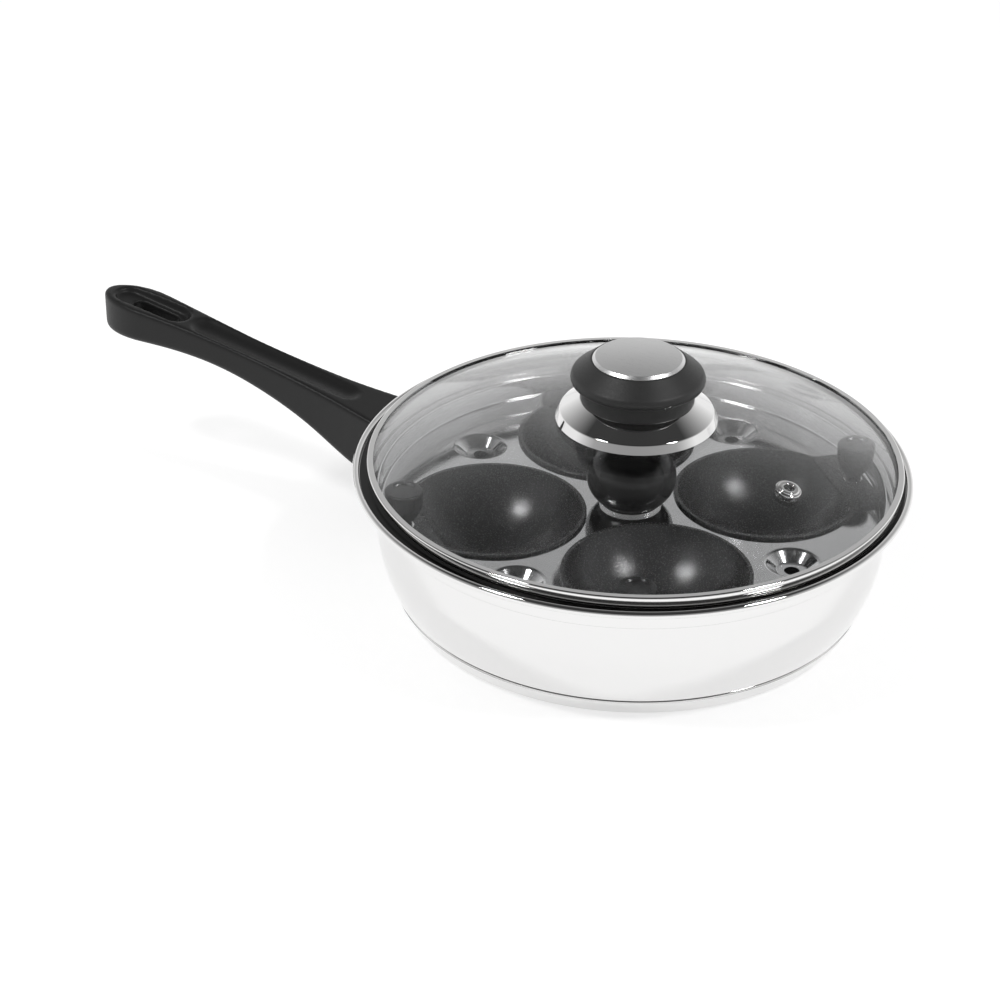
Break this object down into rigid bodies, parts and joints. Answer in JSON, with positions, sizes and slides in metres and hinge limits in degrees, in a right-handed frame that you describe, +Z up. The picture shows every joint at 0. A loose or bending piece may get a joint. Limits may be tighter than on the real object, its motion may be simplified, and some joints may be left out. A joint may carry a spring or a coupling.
{
  "type": "egg poacher pan",
  "caption": "Stick-handled steel pan with a drop-in tray of lift-out non-stick egg cups and a knobbed, steel-banded glass lid.",
  "frame": {"origin": "centre of the base's underside, where the pan's axis meets the hob", "axes": "+Z up along the pan's axis; the handle runs along -X; +Y completes the right-handed frame"},
  "size_m": [0.3545, 0.215, 0.102],
  "materials": {
    "polished_steel": "mirror-polished stainless steel",
    "tray_steel": "bright rolled stainless steel",
    "plain_steel": "plain zinc-bright steel",
    "brushed_disc": "fine straight-brushed stainless steel with a polished bevel",
    "aluminium_core": "plain",
    "handle_black": "satin black moulded phenolic",
    "knob_black": "fine-grained satin black phenolic",
    "cup_coating": "black non-stick coating with a fine sparkle on pressed aluminium",
    "clear_glass": "clear tempered glass",
    "gasket_rubber": "translucent silicone"
  },
  "bodies": {
    "pan": {"pan_body": "polished_steel", "base_cap": "polished_steel", "base_core": "aluminium_core", "handle_bracket": "plain_steel", "handle_grip": "handle_black", "handle_screw": "plain_steel"},
    "tray": {"tray_plate": "tray_steel", "tray_knob_collar": "polished_steel", "tray_knob": "knob_black", "tray_knob_washer": "plain_steel", "tray_knob_screw": "plain_steel"},
    "lid": {"lid_band": "polished_steel", "lid_glass": "clear_glass", "vent_eyelet": "polished_steel", "lid_knob_skirt": "polished_steel", "lid_knob_body": "knob_black", "lid_knob_disc": "brushed_disc", "lid_gasket": "gasket_rubber", "lid_washer": "plain_steel", "lid_screw": "plain_steel"},
    "cup_1": {"cup_1_shell": "cup_coating", "cup_1_knob": "knob_black", "cup_1_knob_ring": "polished_steel", "cup_1_screw": "plain_steel"},
    "cup_2": {"cup_2_shell": "cup_coating", "cup_2_knob": "knob_black", "cup_2_knob_ring": "polished_steel", "cup_2_screw": "plain_steel"},
    "cup_3": {"cup_3_shell": "cup_coating", "cup_3_knob": "knob_black", "cup_3_knob_ring": "polished_steel", "cup_3_screw": "plain_steel"},
    "cup_4": {"cup_4_shell": "cup_coating", "cup_4_knob": "knob_black", "cup_4_knob_ring": "polished_steel", "cup_4_screw": "plain_steel"}
  },
  "joints": [
    {"name": "tray_lift", "type": "slide", "parent": "pan", "child": "tray", "axis": [0, 0, 1], "range_m": [0, 0.09]},
    {"name": "cup_1_lift", "type": "slide", "parent": "tray", "child": "cup_1", "axis": [0, 0, 1], "range_m": [0, 0.06]},
    {"name": "cup_2_lift", "type": "slide", "parent": "tray", "child": "cup_2", "axis": [0, 0, 1], "range_m": [0, 0.06]},
    {"name": "cup_3_lift", "type": "slide", "parent": "tray", "child": "cup_3", "axis": [0, 0, 1], "range_m": [0, 0.06]},
    {"name": "cup_4_lift", "type": "slide", "parent": "tray", "child": "cup_4", "axis": [0, 0, 1], "range_m": [0, 0.06]},
    {"name": "lid_lift", "type": "slide", "parent": "cup_1", "child": "lid", "axis": [0, 0, 1], "range_m": [0, 0.12]}
  ],
  "couplings": [
    {"joint": "cup_2_lift", "follows": "cup_1_lift", "ratio": 1},
    {"joint": "cup_3_lift", "follows": "cup_1_lift", "ratio": 1},
    {"joint": "cup_4_lift", "follows": "cup_1_lift", "ratio": 1}
  ]
}
